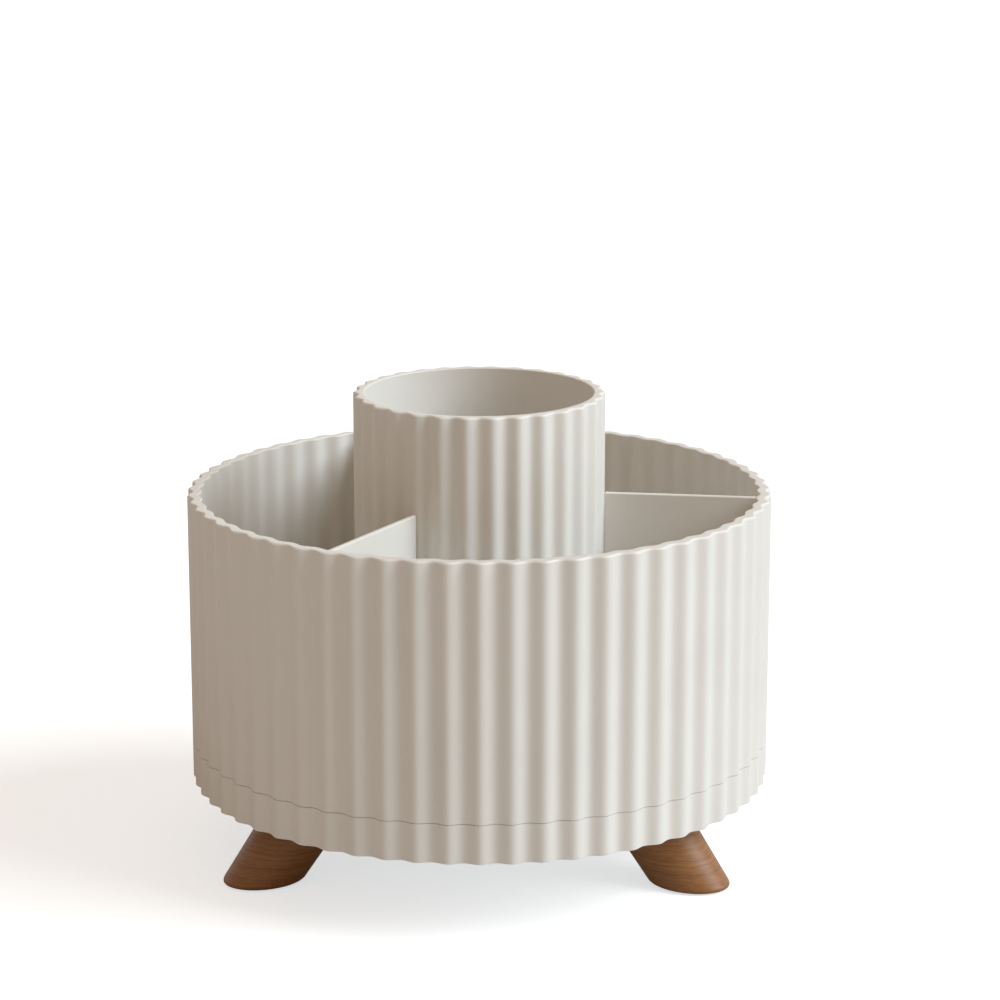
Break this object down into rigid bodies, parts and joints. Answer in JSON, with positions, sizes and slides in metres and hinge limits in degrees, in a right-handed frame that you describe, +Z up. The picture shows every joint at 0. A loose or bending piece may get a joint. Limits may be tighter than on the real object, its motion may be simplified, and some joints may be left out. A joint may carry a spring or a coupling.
{
  "type": "rotating makeup organizer",
  "caption": "Round fluted vanity organizer that turns on a ball race over a low base with splayed wooden legs; open compartments surround a lift-out brush cup.",
  "frame": {"origin": "on the floor under the spin axis, the centre of the bottom of the bounding box", "axes": "+Z up along the spin axis, -Y towards the side that faces the viewer, +X to the right of it"},
  "size_m": [0.224, 0.224, 0.1813],
  "materials": {
    "cream_plastic": "satin moulded plastic",
    "walnut": "oiled walnut",
    "pad_rubber": "matt",
    "race_steel": "zinc plated",
    "ball_steel": "polished",
    "screw_steel": "zinc plated",
    "insert_brass": "turned",
    "acetal": "natural acetal"
  },
  "bodies": {
    "base": {"base_housing": "cream_plastic", "leg_front_left": "walnut", "leg_front_right": "walnut", "leg_rear": "walnut", "foot_pad_front_left": "pad_rubber", "foot_pad_front_right": "pad_rubber", "foot_pad_rear": "pad_rubber", "leg_screws": "screw_steel", "lower_race": "race_steel", "lower_race_screws": "screw_steel", "spindle_insert": "insert_brass", "spindle_bolt": "screw_steel", "spindle_washer": "screw_steel"},
    "turntable": {"drum": "cream_plastic", "divider_left": "cream_plastic", "divider_right": "cream_plastic", "divider_rear": "cream_plastic", "upper_race": "race_steel", "upper_race_screws": "screw_steel", "spindle_bush": "acetal"},
    "bearing": {"ball_cage": "acetal", "bearing_balls": "ball_steel"},
    "cup": {"brush_cup": "cream_plastic"}
  },
  "joints": [
    {"name": "turntable_spin", "type": "hinge", "parent": "base", "child": "turntable", "pos_m": [0, 0, 0.046], "axis": [0, 0, 1], "continuous": true},
    {"name": "bearing_spin", "type": "hinge", "parent": "base", "child": "bearing", "pos_m": [0, 0, 0.04375], "axis": [0, 0, 1], "continuous": true},
    {"name": "cup_lift", "type": "slide", "parent": "turntable", "child": "cup", "axis": [0, 0, 1], "range_m": [0, 0.1]}
  ],
  "couplings": [
    {"joint": "bearing_spin", "follows": "turntable_spin", "ratio": 0.5}
  ]
}
